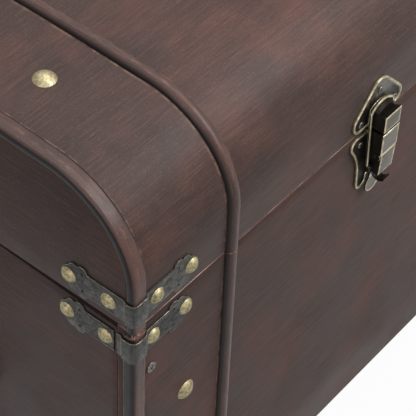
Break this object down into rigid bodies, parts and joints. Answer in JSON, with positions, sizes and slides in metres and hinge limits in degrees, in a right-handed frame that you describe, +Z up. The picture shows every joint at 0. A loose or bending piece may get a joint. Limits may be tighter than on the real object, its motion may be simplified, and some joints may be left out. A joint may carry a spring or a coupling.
{
  "type": "treasure chest",
  "caption": "Small wooden treasure chest with a low domed lid on back hinges, corner straps, domed nails, a front latch with a pull lever, and drop handles.",
  "frame": {"origin": "centre of the flat face that the chest stands on", "axes": "+X along the chest's length to the right seen from the front, -Y towards the front with the latch, +Z up"},
  "size_m": [0.394, 0.2813, 0.315],
  "materials": {
    "stained_wood": "dark brown stain, satin",
    "stained_moulding": "dark red-brown stain, satin, rubbed edges",
    "dark_bronze_sheet": "dark antique bronze, rubbed bright at the edges",
    "antique_brass": "antique brass, mottled",
    "latch_bronze": "antique brass, brushed",
    "screw_steel": "plated"
  },
  "bodies": {
    "body": {"back_left_body_band": "stained_moulding", "back_left_end_strap": "dark_bronze_sheet", "back_left_post": "stained_moulding", "back_left_wrap_strap": "dark_bronze_sheet", "back_panel": "stained_wood", "back_right_body_band": "stained_moulding", "back_right_end_strap": "dark_bronze_sheet", "back_right_post": "stained_moulding", "back_right_wrap_strap": "dark_bronze_sheet", "body_band_nails": "antique_brass", "body_strap_nails": "antique_brass", "floor_panel": "stained_wood", "front_left_body_band": "stained_moulding", "front_left_end_strap": "dark_bronze_sheet", "front_left_post": "stained_moulding", "front_left_wrap_strap": "dark_bronze_sheet", "front_panel": "stained_wood", "front_right_body_band": "stained_moulding", "front_right_end_strap": "dark_bronze_sheet", "front_right_post": "stained_moulding", "front_right_wrap_strap": "dark_bronze_sheet", "handle_screws": "screw_steel", "hinge_body_screws": "screw_steel", "hinge_pins": "screw_steel", "latch_base": "latch_bronze", "latch_base_screws": "screw_steel", "left_end_panel": "stained_wood", "left_handle_plate": "latch_bronze", "left_hinge_body_leaf": "latch_bronze", "panel_screws": "screw_steel", "right_end_panel": "stained_wood", "right_handle_plate": "latch_bronze", "right_hinge_body_leaf": "latch_bronze"},
    "lid": {"lid_skin": "stained_wood", "lid_left_end": "stained_wood", "lid_right_end": "stained_wood", "lid_front_rail": "stained_wood", "lid_back_rail": "stained_wood", "lid_left_band": "stained_moulding", "lid_right_band": "stained_moulding", "lid_left_edge": "stained_moulding", "lid_right_edge": "stained_moulding", "lid_strap_nails": "antique_brass", "lid_band_nails": "antique_brass", "left_hinge_lid_leaf": "latch_bronze", "right_hinge_lid_leaf": "latch_bronze", "hinge_lid_screws": "screw_steel", "latch_keeper": "latch_bronze", "latch_keeper_screws": "screw_steel", "front_left_lid_strap": "dark_bronze_sheet", "front_right_lid_strap": "dark_bronze_sheet", "back_left_lid_strap": "dark_bronze_sheet", "back_right_lid_strap": "dark_bronze_sheet"},
    "latch_lever": {"latch_lever": "latch_bronze", "latch_pins": "latch_bronze"},
    "latch_bail": {"latch_bail": "latch_bronze"},
    "left_handle": {"left_handle_bail": "latch_bronze"},
    "right_handle": {"right_handle_bail": "latch_bronze"}
  },
  "joints": [
    {"name": "lid_hinge", "type": "hinge", "parent": "body", "child": "lid", "pos_m": [0, 0.1353, 0.23225], "axis": [-1, 0, 0], "range_deg": [0, 100]},
    {"name": "latch_lever_pivot", "type": "hinge", "parent": "body", "child": "latch_lever", "pos_m": [0, -0.1393, 0.2154], "axis": [-1, 0, 0], "range_deg": [0, 80]},
    {"name": "latch_bail_pivot", "type": "hinge", "parent": "latch_lever", "child": "latch_bail", "pos_m": [0, -0.1359, 0.2068], "axis": [-1, 0, 0], "range_deg": [-96, 0]},
    {"name": "left_handle_pivot", "type": "hinge", "parent": "body", "child": "left_handle", "pos_m": [-0.1928, 0, 0.128], "axis": [0, 1, 0], "range_deg": [0, 90]},
    {"name": "right_handle_pivot", "type": "hinge", "parent": "body", "child": "right_handle", "pos_m": [0.1928, 0, 0.128], "axis": [0, -1, 0], "range_deg": [0, 90]}
  ],
  "couplings": [
    {"joint": "latch_bail_pivot", "follows": "latch_lever_pivot", "ratio": -1.175}
  ]
}
